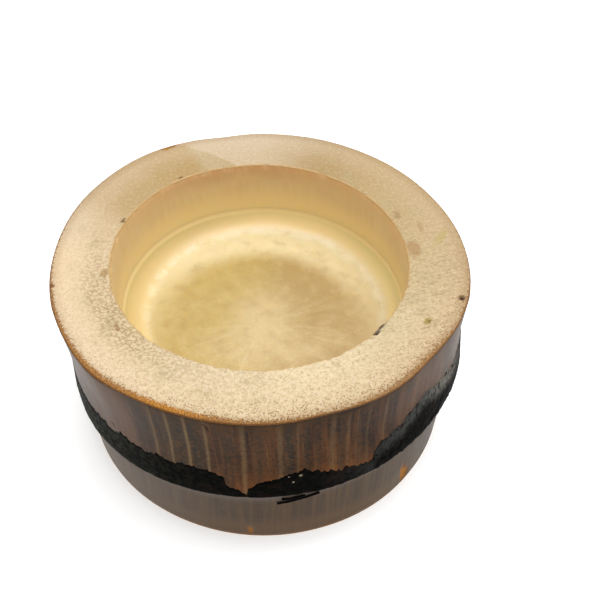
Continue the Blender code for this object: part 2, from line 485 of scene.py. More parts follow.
def makeStudio():
    bpy.ops.mesh.primitive_plane_add(size=studio["floorSize"])
    floor = bpy.context.object
    floor.name = "floor"
    finish, board = shaderBoard("floorPaper")
    shine = {"Emission Color": (1, 1, 1), "Emission Strength": studio["floorGlow"]}
    finishWith(board, studio["floor"], 0.9, 0.0, more=shine)
    floor.data.materials.append(finish)
    world = bpy.data.worlds.new("studio")
    world.use_nodes = True
    sky = world.node_tree.nodes["Background"]
    sky.inputs["Color"].default_value = (1, 1, 1, 1)
    sky.inputs["Strength"].default_value = studio["world"]
    bpy.context.scene.world = world
    width, depth, place, watts = studio["softbox"]
    lamp = bpy.data.lights.new("softbox", "AREA")
    lamp.shape = "RECTANGLE"
    lamp.size, lamp.size_y = width, depth
    lamp.energy = watts
    holder = bpy.data.objects.new("softbox", lamp)
    holder.location = place
    holder.rotation_euler = (-Vector(place)).to_track_quat("-Z", "Y").to_euler()
    bpy.context.scene.collection.objects.link(holder)
    bpy.context.scene.view_settings.view_transform = "Standard"


makeStudio()
print("studio lit")


# Sawn face of the culm

sawn = {
    # colours round the ring, from 0 at -180 degrees to 1 at 180, near the skin and near the bore
    "outer": (
        (0.00, 242, 216, 178), (0.12, 243, 218, 181), (0.22, 234, 210, 170), (0.30, 232, 208, 168),
        (0.40, 224, 198, 156), (0.50, 210, 184, 143), (0.62, 204, 177, 135), (0.72, 200, 176, 140),
        (0.765, 208, 186, 154), (0.81, 210, 188, 152), (0.825, 204, 176, 134), (0.92, 210, 184, 146),
        (0.965, 230, 206, 172), (1.00, 242, 216, 178),
    ),
    "inner": (
        (0.00, 230, 205, 166), (0.10, 226, 200, 156), (0.20, 234, 212, 174), (0.30, 243, 222, 182),
        (0.38, 226, 205, 164), (0.47, 212, 188, 144), (0.58, 198, 172, 126), (0.70, 182, 152, 102),
        (0.77, 197, 172, 130), (0.81, 200, 176, 136), (0.825, 190, 158, 106), (0.92, 197, 168, 120),
        (0.965, 222, 196, 156), (1.00, 230, 205, 166),
    ),
    "bundle": paint(124, 86, 46),
    "bundleAtSkin": paint(146, 84, 30),
    "bundlePitch": (0.31, 0.42, 0.56),  # mm near the skin, midway, near the bore
    "bundleStrength": 0.76,
    "rind": paint(184, 126, 56),
    "rindDark": paint(108, 66, 26),
    "rindBright": paint(206, 134, 18),
    # how deep the brown rind shows, in mm, round the ring
    "rindDepth": (
        (0.00, 0.30), (0.05, 0.65), (0.14, 1.05), (0.21, 1.10), (0.25, 0.75), (0.30, 0.60),
        (0.34, 0.95), (0.38, 0.95), (0.43, 0.50), (0.50, 0.12), (0.82, 0.08), (0.835, 0.8),
        (0.85, 0.08), (0.93, 0.15), (1.00, 0.30),
    ),
    "stain": paint(186, 170, 128),
    "pale": paint(232, 210, 182),
    "patch": (118.1, 1.7),  # turn of the pale patch's left edge, and its lean in degrees to the mm
    "coarse": paint(182, 148, 102),
    "bright": paint(254, 240, 214),
    "grit": paint(170, 134, 86),
    "sawMark": paint(156, 128, 86),
    "groove": paint(150, 118, 76),
    "margin": paint(158, 122, 80),
    "atBore": paint(196, 160, 106),
    "hole": paint(30, 16, 10),
    # turn, mm in from the skin, half-widths in degrees and mm, lean in degrees to the mm, colour, strength
    "smudges": (
        (-31.5, 4.8, 2.0, 0.8, 0.0, paint(156, 134, 52), 0.75),
        (-31.3, 4.6, 0.7, 0.3, 0.0, paint(110, 84, 40), 0.7),
        (7.0, 3.6, 2.2, 2.2, 1.5, paint(186, 168, 92), 0.4),
        (2.0, 9.4, 6.0, 1.6, 0.0, paint(170, 126, 80), 0.55),
        (22.0, 9.2, 3.0, 1.0, 1.0, paint(158, 126, 84), 0.5),
        (13.0, 6.5, 3.0, 0.7, 2.0, paint(176, 144, 98), 0.5),
        (-19.0, 1.2, 1.5, 0.8, 0.0, paint(120, 76, 40), 0.6),
        (160.0, 10.2, 2.0, 0.4, 2.2, paint(120, 84, 44), 0.8),
        (125.0, 10.3, 1.4, 0.3, 0.0, paint(110, 72, 36), 0.8),
        (-170.0, 9.8, 2.6, 1.0, 0.0, paint(176, 138, 84), 0.6),
        (-143.0, 8.3, 2.6, 0.5, 2.0, paint(160, 118, 70), 0.6),
        (-167.0, 0.5, 0.9, 0.6, 0.0, paint(120, 70, 36), 0.8),
        (121.5, 0.5, 1.6, 0.7, 0.0, paint(176, 122, 56), 0.9),
    ),
}


def sawnFinish():
    finish, board = shaderBoard("sawnBamboo")
    turn, _, _ = placeWires(board)
    spot = inMillimetres(board)
    flat = spot.stretched(1, 1, 0)
    depth = attribute(board, "fromSkin")
    share = turn * (1 / 360) + 0.5

    # the boundary of the two tones wanders
    drift = board.noise(flat, 0.25, 3, 0.6) - 0.5
    outer, inner = (
        board.ramp(share, [(at, paint(*shade)) for at, *shade in sawn[side]]) for side in ("outer", "inner")
    )
    patches = board.noise(flat, 0.2, 4, 0.6)
    patchTurn, patchLean = sawn["patch"]
    edge = turn + depth * patchLean + drift * 5  # a pale patch with a sharp left edge
    fine = board.noise(flat, 1.5, 5, 0.7)
    grit = board.noise(flat, 4.0, 3, 0.65)
    rough = turnBell(turn, -95, 80) * 0.6 + 0.45  # the front is the coarsest

    # bundle ends: small and close at the skin, larger and sparser towards the bore
    near, mid, far = (board.cells(flat, 1 / pitch).step(0.5, 0.2) for pitch in sawn["bundlePitch"])
    nearShare = depth.step(4.2, 2.2)
    farShare = depth.step(5.5, 8.5)
    bundles = near * nearShare + far * farShare + mid * (1 - nearShare - farShare)
    sharpness = turnBell(turn, -68, 72) * (depth.step(5.5, 1) * 0.7 + 0.3) + 0.12
    faint = board.noise(flat, 0.6, 2).step(0.3, 0.62)
    bundles = bundles * sharpness * (faint * 0.6 + 0.4)
    brownish = depth.step(3.2, 0.8) * turnBell(turn, -65, 60)

    # saw marks across the right of the face, slightly askew
    east, north, _ = spot.parts()
    across = board.join(east * 0.2 + north * 0.05, north * 3.0 - east * 0.9, 0.0)
    marks = board.noise(across, 1.0, 3, 0.6).step(0.5, 0.66) * turnBell(turn, -20, 36)
    marks = marks * depth.step(0.5, 2) * (fine.step(0.4, 0.6) * 0.6 + 0.4)

    # short worn grooves beside the bore at the left
    worms = board.cells(spot.stretched(1, 1.6, 0), 0.95, "DISTANCE_TO_EDGE").step(0.16, 0.02)
    worms = worms * fine.step(0.42, 0.56) * turnBell(turn, -150, 38) * depth.step(4.0, 8.0)

    # the brown rind, breaking up inwards
    rindDepth = board.ramp(share, [(at, grey(d / 2)) for at, d in sawn["rindDepth"]]).parts()[0] * 2
    broken = turnBell(turn, -52, 34)
    reach = rindDepth * (1 + broken * 0.4) + (fine - 0.5) * 1.5 + (grit - 0.5) * 1.6
    rind = (reach + (near - 0.5) * broken * 0.9 - depth).step(-0.3, 0.3)
    bright = clamped(turnBell(turn, -113, 10) + turnBell(turn, -140, 12) * 0.25)
    rindColour = board.coats(
        board.mix(grit.step(0.4, 0.6), sawn["rind"], sawn["rindDark"]),
        (bright * grit.step(0.66, 0.46), sawn["rindBright"]),
        (near * 0.45, sawn["rindDark"]),
    )
    lip = (depth + (grit - 0.5) * 0.4).step(0.3, 0.08) * (1 - turnBell(turn, 75, 75))

    colour = board.coats(
        board.mix((depth + drift * 5).step(2.0, 9.0), outer, inner),
        (patches.step(0.5, 0.7) * depth.step(1, 6) * 0.4, sawn["stain"]),
        (edge.step(patchTurn + 0.5, patchTurn - 0.5) * turn.step(60, 90) * 0.46, sawn["pale"]),
        (fine.step(0.48, 0.66) * rough * 0.32, sawn["coarse"]),
        (fine.step(0.5, 0.38) * rough * 0.3, sawn["bright"]),
        (grit.step(0.5, 0.68) * rough * 0.3, sawn["grit"]),
        (bundles * sawn["bundleStrength"], board.mix(brownish, sawn["bundle"], sawn["bundleAtSkin"])),
        (marks * 0.5, sawn["sawMark"]),
        (worms * 0.45, sawn["groove"]),
        (depth.step(2.6, 0.4) * (turnBell(turn, -55, 30) * 0.22 + 0.3), sawn["margin"]),
        (rind * (0.9 - broken * 0.25), rindColour),
        (lip * 0.75, sawn["rindDark"]),
    )
    for at, inward, wide, tall, lean, shade, strength in sawn["smudges"]:
        blot = turnBell(turn + (depth - inward) * lean, at, wide) * bell(depth, inward, tall)
        colour = board.mix((blot + (fine - 0.5) * 0.8).step(0.3, 0.8) * strength, colour, shade)
    colour = board.coats(
        colour,
        ((depth + (fine - 0.5) * 0.8).step(10.2, 10.9) * 0.35, sawn["atBore"]),
        (attribute(board, "wound"), sawn["hole"]),
    )
    height = fine * 0.5 + grit * 0.35 + bundles * -0.5 + marks * -0.45 + worms * -0.8
    finishWith(board, colour, fine * 0.2 + 0.7, 0.15, (height, 0.7, 0.16 * mm))
    return finish


# Bore: the wall above the rosin, wetted by it

# The wall's colours are painted brighter, by their share of the light, to make up for the shade inside the
# bore: painted light. The brink faces up into the full light and is not.
bore = {
    "gold": paint(236, 210, 156, 0.83),
    "deep": paint(228, 194, 140, 0.83),
    "stain": paint(218, 172, 124, 0.88),
    "low": paint(240, 214, 152, 0.75),
    "brink": paint(210, 174, 120),
    "wound": paint(40, 24, 18),
}

# Light goes a little way into the rosin and the wall that it wets.
glow = {"Subsurface Weight": 0.3, "Subsurface Radius": (0.004, 0.0022, 0.0008), "Subsurface Scale": 1.0}


def boreFinish():
    finish, board = shaderBoard("wettedBore")
    turn, above, place = placeWires(board)
    down = (culm["height"] - culm["nodeHeight"]) / mm - above
    streaks = board.noise(place.stretched(20, 20, 0.04), 1.0, 4, 0.6)
    blotches = board.noise(place.stretched(3, 3, 0.16), 1.0, 4, 0.6)
    ragged = (streaks - 0.5) * 6 + (blotches - 0.5) * 7 + down
    stain = ragged.step(4.6, 0.4) * (turnBell(turn, 95, 50) * 0.8 + 0.1)
    colour = board.coats(
        bore["gold"],
        (streaks.step(0.38, 0.66) * 0.6, bore["deep"]),
        (blotches.step(0.42, 0.7) * 0.5, bore["deep"]),
        (stain * 0.8, bore["stain"]),
        # lighter towards the rosin, and painted brighter there to make up for the deeper shade
        (down.step(4, 10.5), bore["low"]),
        (down.step(0.7, 0.1), bore["brink"]),
        (attribute(board, "wound") * 0.9, bore["wound"]),
    )
    finishWith(board, colour, blotches * 0.2 + 0.3, 0.4, (streaks, 0.2, 0.12 * mm), glow)
    return finish


# Skin: the culm's outside, heat-browned and varnished

skin = {
    "dark": paint(33, 20, 11),
    "brown": paint(98, 62, 32),
    "red": paint(98, 52, 28),
    "streak": paint(134, 94, 52),
    # this sheen and the pale below: painted reflection on the skin where it turns away at the sides
    "grazingSheen": paint(108, 90, 76),
    "orange": paint(136, 78, 26),
    "scorched": paint(76, 50, 16),
    "band": paint(50, 44, 35),
    "rib": paint(142, 116, 80),
    "pale": paint(150, 138, 130),
    "charred": paint(28, 18, 14),
    "underRim": paint(52, 30, 12),
    "raw": paint(186, 124, 54),
    "foot": paint(170, 116, 60),
    "wound": paint(30, 20, 16),
    # below the node
    "skirt": paint(89, 73, 59),
    "skirtStreak": paint(122, 94, 66),
    "skirtDark": paint(70, 58, 49),
    "skirtMottle": paint(112, 94, 78),
    "skirtFoot": paint(120, 96, 72),
    # this sheen and the next: painted reflection on the skirt's sides, strongest at the left
    "skirtGrazingSheen": paint(120, 106, 92),
    "skirtLeftSheen": paint(138, 126, 116),
    "skirtRight": paint(62, 52, 42),
    "skirtTop": paint(124, 115, 109),
    # painted shadow below the node, under the ridge and the crust, at the left and the right
    "shade": paint(36, 32, 26),
    # turn and half-width of each dark grey band, and how strong it is
    "bands": (
        (-120.2, 1.5, 0.4), (-115.6, 2.0, 0.75), (-111.0, 2.3, 0.9), (-106.3, 2.2, 0.95),
        (-99.0, 1.8, 0.65), (-91.2, 1.4, 0.6), (-84.0, 1.3, 0.95),
        (-79.5, 1.2, 0.6), (-76.5, 0.8, 0.5), (-70.8, 1.0, 0.55), (-65.5, 1.3, 0.45),
    ),
    # turn and strength of each thin pale rib
    "ribs": (
        (-117.8, 0.55), (-113.4, 0.8), (-108.7, 1.0), (-103.8, 0.8), (-95.3, 0.4), (-94.7, 0.5),
        (-86.4, 0.4), (-85.8, 0.35), (-81.8, 0.35), (-73.4, 0.3), (-72.8, 0.35), (-69.0, 0.3),
        (-63.5, 0.3), (-58.5, 0.3), (-47.0, 0.25),
    ),
    "ribWidth": 0.42,
    "ribLean": 0.055,  # degrees to the mm
}


def skinPattern(board, turn, above):
    # bands and ribs run up the culm, not quite straight
    wander = board.noise(board.join(turn * 0.08, above * 0.06, 0.0), 1.0, 2) - 0.5
    leaned = turn + wander * 0.5 - (above - 20) * skin["ribLean"]
    bands = sum(turnBell(leaned, at, width) * strong for at, width, strong in skin["bands"])
    ribs = sum(turnBell(leaned, at, skin["ribWidth"]) * strong for at, strong in skin["ribs"])
    return clamped(bands), clamped(ribs)


def skinFinish():
    finish, board = shaderBoard("varnishedSkin")
    turn, above, place = placeWires(board)
    wide = board.noise(place.stretched(11, 11, 0.03), 1.0, 2, 0.5)
    narrow = board.noise(place.stretched(64, 64, 0.05), 1.0, 4, 0.7)
    mottle = board.noise(place.stretched(50, 50, 1.2), 1.0, 4, 0.7)
    lines = board.noise(place.stretched(14, 14, 4.0), 1.0, 2, 0.6)  # faint, around the culm
    bands, ribs = skinPattern(board, turn, above)
    # left, right and side: where the skin catches a grazing reflection of the bright studio, painted in as a
    # paler sheen
    left = turnBell(turn, -158, 34)
    right = turnBell(turn, -22, 30) * (above.step(22, 9) * 0.5 + 0.5)
    side = clamped(left + right + turnBell(turn, 90, 60))
    low = above.step(8.5, 0.5) * turnBell(turn, -80, 26)
    scorched = (above + (mottle - 0.5) * 8).step(18.2, 22.0) * (1 - side)
    charred = bell(turn, -68.5, 4.2) * bell(above - turn * 0.05, 25.0, 0.5)
    upper = board.coats(
        skin["dark"],
        (wide.step(0.34, 0.58), skin["brown"]),
        (narrow.step(0.52, 0.66) * 0.55, skin["streak"]),
        (narrow.step(0.48, 0.36) * 0.6, skin["dark"]),
        (mottle.step(0.48, 0.6) * 0.5, skin["red"]),
        (mottle.step(0.48, 0.38) * 0.6, skin["dark"]),
        (lines.step(0.52, 0.7) * 0.25, skin["dark"]),
        # painted reflection on the sides, paler at the left
        (side * 0.7, skin["grazingSheen"]),
        (left * 0.3, skin["pale"]),
        (low * (narrow * 0.5 + 0.45), skin["orange"]),
        (bands * 0.85, skin["band"]),
        (bands * mottle.step(0.5, 0.62) * 0.3, skin["streak"]),
        (ribs * (mottle * 0.9 + 0.2), skin["rib"]),
        (scorched * 0.6, skin["scorched"]),
        (above.step(21.2, 22.0) * (1 - side) * 0.6, skin["underRim"]),
        (charred * 0.7, skin["charred"]),
    )

    # below the node: greyer and more even
    streaks = board.noise(place.stretched(30, 30, 0.04), 1.0, 3, 0.6)
    # painted shadow below the node, under the ridge and the crust
    shade = (turnBell(turn, -143, 12) + turnBell(turn, -32, 8)) * above.step(-6.5, -3.0)
    skirt = board.coats(
        skin["skirt"],
        (streaks.step(0.47, 0.66) * 0.4, skin["skirtStreak"]),
        (streaks.step(0.46, 0.34) * 0.3, skin["skirtDark"]),
        (mottle.step(0.46, 0.62) * 0.25, skin["skirtMottle"]),
        (above.step(-8, -12) * 0.65, skin["skirtFoot"]),
        # painted reflection on the skirt's sides, strongest at the left
        (side * 0.3, skin["skirtGrazingSheen"]),
        (turnBell(turn, -140, 30) * 0.5, skin["skirtLeftSheen"]),
        (bell(above, -2.8, 0.9) * 0.5, skin["skirtTop"]),
        (shade * 0.8, skin["shade"]),
        (turnBell(turn, -30, 10) * 0.45, skin["skirtRight"]),
    )
    raw = attribute(board, "chip")
    colour = board.coats(
        upper,
        (above.step(-0.4, -1.0), skirt),
        (raw, skin["raw"]),
        ((above + (narrow - 0.5) * 1.2).step(-13.7, -14.1) * 0.6, skin["foot"]),
        (attribute(board, "wound") * 0.9, skin["wound"]),
    )
    height = narrow * 0.5 + ribs * 0.8 - bands * 0.25 + mottle * 0.35
    finishWith(board, colour, mottle * 0.24 + 0.26 + raw * 0.2, 0.035, (height, 0.3, 0.15 * mm))
    return finish


# Recess: the inside of the culm below its diaphragm, raw and papery

recess = {"dull": paint(196, 166, 118), "pale": paint(222, 196, 150), "fibre": paint(170, 134, 88)}


def recessFinish():
    finish, board = shaderBoard("rawRecess")
    _, _, place = placeWires(board)
    streaks = board.noise(place.stretched(30, 30, 0.05), 1.0, 3, 0.6)
    fibrous = board.noise(inMillimetres(board), 0.5, 5, 0.65)
    colour = board.coats(
        recess["dull"],
        (streaks.step(0.3, 0.7), recess["pale"]),
        (fibrous.step(0.45, 0.7) * 0.4, recess["fibre"]),
    )
    finishWith(board, colour, 0.8, 0.25, (streaks * 0.5 + fibrous, 0.4, 0.3 * mm))
    return finish


# Cup

# zones of the profile
recessZone, boreZone, sawnZone, skinZone = 0, 1, 2, 3

cup = {
    # turn, mm above the node, half-widths in degrees and mm, how deep beside the others
    "chips": (
        (-95.4, -12.6, 0.9, 1.3, 0.22), (-44.6, -12.2, 1.6, 1.6, 0.35), (-46.3, -9.8, 0.7, 1.5, 0.25),
    ),
    "chipDepth": 0.35,
    # turn, mm in from the skin, half-widths in degrees and mm
    "wounds": (
        (-18.9, 1.15, 0.85, 0.5), (-45.2, 10.5, 1.9, 0.5), (-41.0, 10.8, 2.2, 0.35),
        (160.3, 10.6, 0.55, 0.28),
    ),
    "woundDepth": 0.7,
    # turn, mm above the node, half-widths in degrees and mm, lean
    "scars": ((-103.3, 20.0, 0.35, 1.3, 0.5), (-133.4, 8.4, 0.5, 0.5, 0.0)),
    "scarDepth": 0.2,
    "grain": 0.10,  # mm the sawn grain stands out
    "nibble": 0.35,  # mm the bore's edge is worn away at most
}


def cupProfile():
    # from the axis over the diaphragm, up the bore, over the rim, down the skin and in below
    height, edge, fillet = culm["height"], culm["edge"], culm["fillet"]
    inside, rim, foot = culm["boreRadius"], culm["rimRadius"], culm["footBore"]
    top, under, node = culm["diaphragmTop"], culm["diaphragmUnder"], culm["nodeHeight"]
    skirt, nose = culm["skirtRadius"], culm["nodeHeight"] - culm["noseDrop"]
    wetted = cakeHigh.z - 3.5 * mm  # the wall is the bore's from here up

    def skinRun(start, end, rows):
        return [(skinRadius(h), h) for (h,) in run((start,), (end,), rows)]

    stretches = (
        (recessZone, run((0, top), (inside - fillet, top), 5)),
        (recessZone, corner((inside - fillet, top + fillet), fillet, -90, 0, 3)),
        (boreZone, run((inside, wetted), (inside, height - edge), 24)),
        (boreZone, corner((inside + edge, height - edge), edge, 180, 90, 3)[:-1]),
        (sawnZone, run((inside + edge, height), (rim - edge, height), 30)),
        (sawnZone, corner((rim - edge, height - edge), edge, 90, 0, 3)[:-1]),
        (skinZone, skinRun(height - edge, node, 34)),
        (skinZone, skinRun(node, nose, 7)),
        (skinZone, skinRun(nose, edge, 12)),
        (sawnZone, corner((skirt - edge, edge), edge, 0, -90, 2)[:-1]),
        (sawnZone, run((skirt - edge, 0), (foot, 0), 7)),
        (recessZone, run((foot, 0), (foot, under - fillet), 5)),
        (recessZone, corner((foot - fillet, under - fillet), fillet, 0, 90, 3)),
        (recessZone, [(0, under)]),
    )
    points = [point for _, stretch in stretches for point in stretch]
    return points, [float(zone) for zone, stretch in stretches for _ in stretch]


def cupShape(board, size, radius, height, turn, zone):
    # the turned shape with its grain, chips, cracks and holes
    relief = size["Relief"] * mm
    onBore, onFace, onSkin = (zone.calc("COMPARE", float(z), 0.1) for z in (boreZone, sawnZone, skinZone))
    onFace = onFace * height.step(20 * mm, 30 * mm)
    fromSkin = (culm["rimRadius"] - radius) * (1 / mm)
    above = (height - culm["nodeHeight"]) * (1 / mm)
    skinOut = skinRelief(board, turn, above)
    grain = board.noise(board.spot(radius, turn), 900.0, 3, 0.6) - 0.5

    chip = sum(
        turnBell(turn, at, wide) * bell(above, up, tall) * (deep / 0.3)
        for at, up, wide, tall, deep in cup["chips"]
    )
    chip = chip.step(0.3, 0.55)
    wound = sum(
        turnBell(turn, at, wide) * bell(fromSkin, inward, tall) for at, inward, wide, tall in cup["wounds"]
    )
    wound = wound.step(0.3, 0.7) * height.step(34 * mm, 36 * mm)
    scars = sum(
        turnBell(turn + above * lean, at + up * lean, wide) * bell(above, up, tall)
        for at, up, wide, tall, lean in cup["scars"]
    )
    scars = scars.step(0.3, 0.7) * onSkin
    # the bore's edge is worn unevenly
    nibble = board.noise(board.ring(turn).stretched(14, 14, 0), 1.0, 5, 0.7).step(0.42, 0.7)
    nibble = nibble * bell(fromSkin, 11.0, 0.55) * height.step(35.6 * mm, 36.7 * mm) * cup["nibble"]

    outward = (onSkin + onBore * 0.5) * skinOut + nibble
    outward = outward - chip * onSkin * cup["chipDepth"] - scars * cup["scarDepth"]
    upward = onFace * (grain * cup["grain"] - wound * cup["woundDepth"]) - nibble
    fields = {"fromSkin": fromSkin, "chip": chip, "wound": wound.calc("MAXIMUM", scars)}
    return radius + outward * relief, height + upward * relief, fields


def makeCup():
    points, zones = cupProfile()
    finishes = [recessFinish(), boreFinish(), sawnFinish(), skinFinish()]
    board = turnedTree("cupTree", ["Relief"], len(points), cupShape, finishes)
    sizes = {"Start": -180.0, "End": 180.0, "Steps": float(culm["turnSteps"]), "Relief": 1.0}
    piece = fromTree("bamboo_culm", board, sizes, profileMesh("cupProfile", points, zones))
    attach(piece, "root")
    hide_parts("bamboo_cup")


makeCup()
print("cup turned")


# Rosin

rosin = {
    "top": 22.0 * mm,
    "dish": 0.2 * mm,
    "rise": cakeHigh.z - 22.0 * mm,
    "creep": 5.0 * mm,  # width of the meniscus
    "bite": 0.12 * mm,  # how far its edge goes into the wall
    "round": 2.5 * mm,
    "ripple": 0.25,  # mm
    "heart": (-1.0, -4.0),  # mm from the middle
    "centre": paint(228, 202, 148),
    "left": paint(210, 182, 108),
    "right": paint(194, 163, 102),
    # ring: a pale band of thin rosin at the foot of the meniscus, with a painted highlight in it; sheen: a
    # painted highlight
    "ring": paint(238, 222, 176, 0.86),
    "sheen": paint(250, 238, 204, 0.84),
    # against the wall: at the back, at the left, at the right, and on its very edge; each is painted
    # brighter, by its share of the light, to make up for the shade against the wall, and the very edge is
    # painted light over the shade where the rosin meets the wall
    "edge": paint(242, 212, 148, 0.765),
    "edgeLeft": paint(226, 198, 133, 0.81),
    "edgeRight": paint(232, 208, 144, 0.78),
    "edgeTop": paint(255, 220, 152, 0.74),
    "cloud": paint(182, 150, 88),
    "clear": paint(238, 216, 162),
    "ray": paint(240, 220, 170),
    "pit": paint(168, 132, 78),
    "pitEdge": paint(250, 234, 196),
    "steps": 360,
}


def rosinProfile():
    # from the axis over the dish, up the meniscus and just into the wall, down inside it and back in
    side = culm["boreRadius"] + rosin["bite"]
    top, rise, creep, bend = rosin["top"], rosin["rise"], rosin["creep"], rosin["round"]
    points = run((0, top - rosin["dish"]), (side - creep, top), 50)
    rows = 24
    for i in range(rows + 1):
        lean = math.pi / 2 * i / rows
        points.append((side - creep * (1 - math.sin(lean)), top + rise * (1 - math.cos(lean))))
    points += run((side, top), (side, cakeLow.z + bend), 3)
    points += corner((side - bend, cakeLow.z + bend), bend, 0, -90, 3)
    points.append((0, cakeLow.z))
    return points


def rosinShape(board, size, radius, height, turn, zone):
    swell = board.noise(board.spot(radius, turn), 130.0, 2) - 0.5
    onTop = height.step(20 * mm, 21.5 * mm)
    fromAxis = radius * (1 / mm)
    above = (height - culm["nodeHeight"]) * (1 / mm)
    radius = radius + skinRelief(board, turn, above) * fromAxis.step(20, 26) * 0.5 * mm
    return radius, height + swell * onTop * size["Ripple"] * mm, {"fromAxis": fromAxis}


def rosinFinish():
    finish, board = shaderBoard("castRosin")
    _, _, place = placeWires(board)
    spot = inMillimetres(board)
    flat = spot.stretched(1, 1, 0)
    east, north, _ = spot.parts()
    fromAxis = attribute(board, "fromAxis")
    wander = board.noise(place.stretched(2.2, 2.2, 0), 1.0, 2) - 0.5
    out = fromAxis + wander * 2.0
    inside = out.step(23.0, 19.0)

    # a pale heart a little in front of the middle, greener on the left and browner on the right
    heartX, heartY = rosin["heart"]
    awayX, awayY = east - heartX, north - heartY
    fromHeart = (awayX * awayX * 0.8 + awayY * awayY * 0.5).calc("SQRT")
    side = board.mix((east + wander * 6).step(-8, 7), rosin["left"], rosin["right"])

    # The ring is a pale band of thin rosin with a painted highlight in it, so it is paler and wider at the
    # back and narrower at the left.
    back = clamped(north * 0.04 + 0.4)  # the ring is paler at the back
    spread = out + north * 0.2 + east * 0.04  # and wider there
    narrowed = out + east.step(0, -20) * 1.2  # and narrower at the left
    # the meniscus, painted brighter to make up for the shade against the wall, and lighter still on its very
    # edge where it meets the wall: painted light
    edge = board.coats(
        rosin["edge"],
        (east.step(4, -18), rosin["edgeLeft"]),
        (east.step(12, 22), rosin["edgeRight"]),
        (fromAxis.step(26.18, 26.46), rosin["edgeTop"]),
    )
    # painted highlight along the meniscus, patchy, strongest at the back
    paintedHighlight = bell(fromAxis + wander * 1.5, 22.8, 1.0) * (back * 0.8 + 0.2)
    clouds = board.noise(flat, 0.3, 5, 0.62)
    rays = board.noise(
        board.join(awayX / fromHeart * 6, awayY / fromHeart * 6, fromHeart * 0.06), 1.0, 3, 0.6
    )
    rays = rays.step(0.5, 0.72) * fromHeart.step(1, 5) * out.step(20, 14) * north.step(6, -6)
    pits = board.noise(flat, 1.6, 4, 0.7)
    pitted = north.step(2, -8) * out.step(22, 18)
    colour = board.coats(
        rosin["centre"],
        ((fromHeart + wander * 5).step(1, 9), side),
        (north.step(-3, -12) * out.step(19, 11) * 0.7, rosin["centre"]),
        (spread.step(15.5, 22.5) * (back * 0.7 + 0.25), rosin["ring"]),
        (narrowed.step(22.6, 24.9), edge),
        (paintedHighlight * clouds.step(0.3, 0.6) * 0.75, rosin["sheen"]),
        (clouds.step(0.45, 0.68) * inside * 0.34, rosin["cloud"]),
        (clouds.step(0.5, 0.3) * inside * 0.25, rosin["clear"]),
        (rays * 0.35, rosin["ray"]),
        (pits.step(0.55, 0.7) * pitted * 0.3, rosin["pit"]),
        (pits.step(0.42, 0.3) * pitted * 0.4, rosin["pitEdge"]),
    )
    height = (clouds + pits * pitted * 0.6) * (inside * 0.9 + 0.1)
    roughness = clouds * 0.14 + out.step(22, 26) * 0.16 + 0.2
    finishWith(board, colour, roughness, 0.5, (height, 0.14, 0.4 * mm), glow)
    return finish


def makeRosin():
    points = rosinProfile()
    board = turnedTree("rosinTree", ["Ripple"], len(points), rosinShape, [rosinFinish()])
    sizes = {"Start": -180.0, "End": 180.0, "Steps": float(rosin["steps"]), "Ripple": rosin["ripple"]}
    piece = fromTree("cast_rosin", board, sizes, profileMesh("rosinProfile", points, [0.0] * len(points)))
    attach(piece, "root")
    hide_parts("rosin_cake")


makeRosin()
print("rosin cast")


# Crust of the dead sheath

crust = {
    "foot": culm["nodeHeight"] - 0.9 * mm,
    "thickness": 0.08,
    "roughness": 0.26,
    "black": paint(2, 2, 1),
    "green": paint(12, 12, 9),
    "overhang": 0.5,  # mm that the crust hangs over the skirt, right of the front
    "brown": paint(34, 20, 14),
    # a grey rough layer on the crust at the right, partly its own colour and partly a painted sheen
    "darkAshAndSheen": paint(98, 98, 96),
    "paleDustAndSheen": paint(166, 160, 150),
    # painted reflection: a greyish sheen on the crust's left edges
    "leftSheen": paint(96, 100, 88),
    "glint": paint(168, 162, 134),
    "inward": 0.25,  # mm that its hidden side lies in the culm
    # painted glints: turn, mm above the node, half-widths in degrees and mm
    "glints": (
        (-83.9, 3.3, 0.4, 0.3), (-82.0, 4.9, 0.5, 0.28), (-84.9, 5.0, 0.3, 0.2), (-83.2, 6.1, 0.8, 0.16),
    ),
    # turn, and the height of the top edge above the node in mm
    "right": (
        (-96.0, 0.0), (-95.2, 1.9), (-93, 3.7), (-90, 4.3), (-87, 4.8), (-84, 5.9), (-81, 6.4),
        (-79, 5.6), (-77, 4.8), (-75, 4.5), (-73, 3.6), (-71.5, 3.2), (-70, 3.9), (-67, 2.9),
        (-64, 2.5), (-62.6, 2.7), (-62, 4.4), (-60, 6.8), (-56, 7.6), (-53, 7.9), (-49.5, 9.8),
        (-43, 11.2), (-38, 9.8), (-34, 8.9), (-27, 7.6), (-15, 7.4), (0, 6.4), (12, 7.8), (25, 6.4),
        (38, 7.2), (50, 4.6), (60, 5.4), (67, 3.8), (71, 0.0),
    ),
    "left": (
        (83, 0.0), (86, 2.4), (92, 5.0), (104, 6.6), (118, 5.6), (132, 6.8), (150, 5.6), (170, 6.6),
        (190, 6.2), (208, 6.6), (217, 6.4), (222, 6.6), (225, 5.9), (229, 7.5), (233, 6.7), (236, 6.1),
        (240, 6.4), (241.2, 7.3), (242.4, 6.2), (246, 6.2), (250, 6.8), (252.9, 6.3), (255, 6.7),
        (257.4, 5.6), (258.9, 4.9), (259.2, 2.6), (262.2, 1.7), (263.8, 0.8), (264.4, 0.0),
    ),
}


